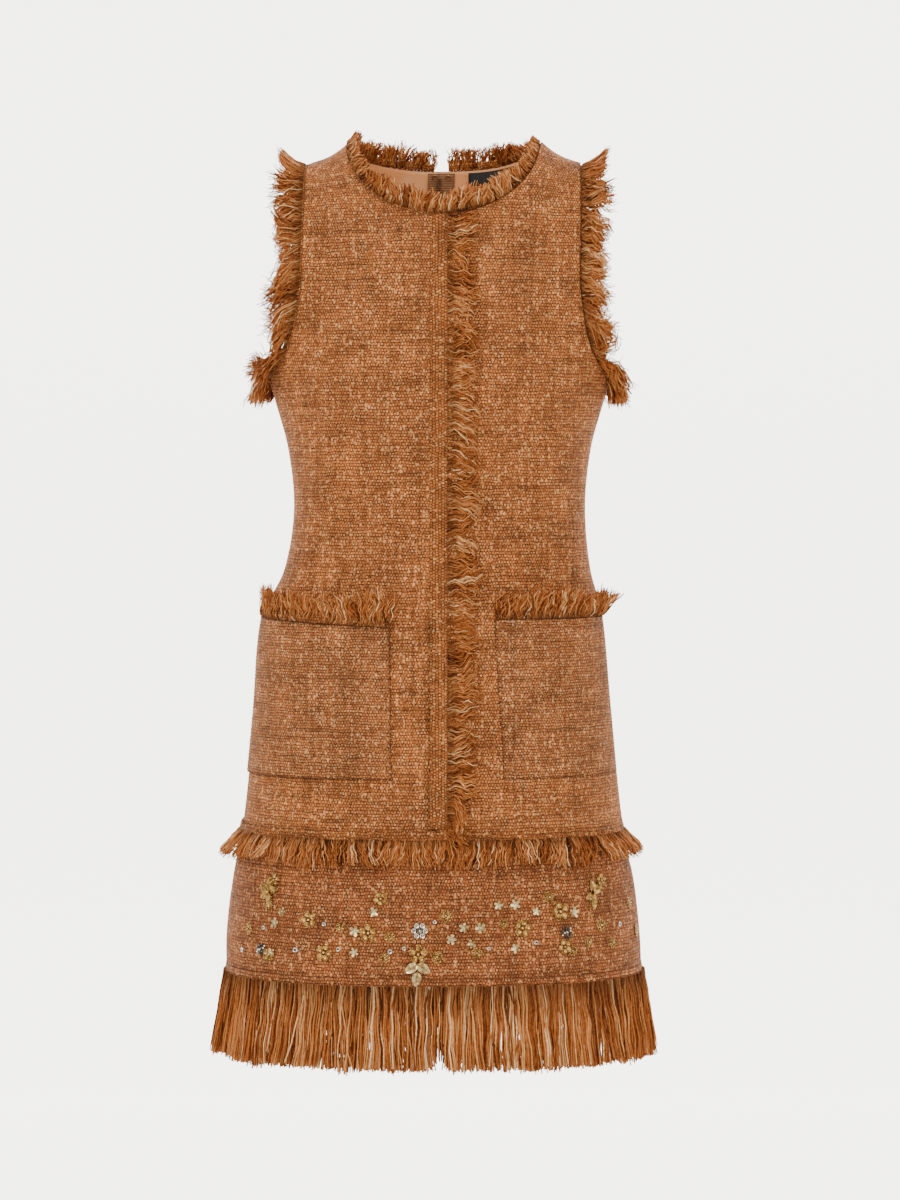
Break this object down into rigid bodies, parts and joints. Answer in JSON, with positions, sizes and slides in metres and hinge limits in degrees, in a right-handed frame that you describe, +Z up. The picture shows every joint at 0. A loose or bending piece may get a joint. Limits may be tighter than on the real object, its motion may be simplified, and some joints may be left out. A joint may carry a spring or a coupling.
{
  "type": "a-line mini dress",
  "caption": "Sleeveless A-line mini dress in fringed tweed, filled out as worn, with patch pockets and a hem band of metal flowers.",
  "frame": {"origin": "between the two shoulder seams, at the height of the shoulder tips, where the wearer holds the dress up", "axes": "+Z up; the front faces -Y; +X is the wearer's left"},
  "size_m": [0.3986, 0.315, 0.8446],
  "materials": {
    "tweed": "caramel and copper boucle tweed with gold metallic flecks",
    "fringe_yarn": "loose boucle yarn, copper and caramel, with metallic threads",
    "lining_satin": "smooth orange-tan satin",
    "zip_tape": "brown woven zip tape",
    "gold_metal": "polished antique gold",
    "label_weave": "plain black woven label"
  },
  "bodies": {
    "dress": {"front": "tweed", "back_right": "tweed", "back_left": "tweed", "hem_band_front": "tweed", "hem_band_back": "tweed", "pocket_right": "tweed", "pocket_left": "tweed", "neck_fringe": "fringe_yarn", "armhole_fringe_right": "fringe_yarn", "armhole_fringe_left": "fringe_yarn", "front_fringe": "fringe_yarn", "pocket_fringe_right": "fringe_yarn", "pocket_fringe_left": "fringe_yarn", "mid_fringe": "fringe_yarn", "hem_fringe": "fringe_yarn", "lining_right": "lining_satin", "lining_left": "lining_satin", "zip_tape_right": "zip_tape", "zip_tape_left": "zip_tape", "zip_slider": "gold_metal", "neck_hook": "gold_metal", "neck_eye": "gold_metal", "label": "label_weave", "flower_1": "gold_metal", "flower_2": "gold_metal", "flower_3": "gold_metal", "flower_4": "gold_metal", "flower_5": "gold_metal", "flower_6": "gold_metal", "flower_7": "gold_metal", "flower_8": "gold_metal", "flower_9": "gold_metal", "leaf_sprig_centre": "gold_metal", "leaf_sprig_right": "gold_metal", "leaf_sprig_left": "gold_metal"},
    "zip_pull": {"zip_pull_tab": "gold_metal"}
  },
  "joints": [
    {"name": "pull_tab_hinge", "type": "hinge", "parent": "dress", "child": "zip_pull", "pos_m": [0.00199, 0.09257, -0.02869], "axis": [1, 0, 0], "range_deg": [0, 120]}
  ]
}
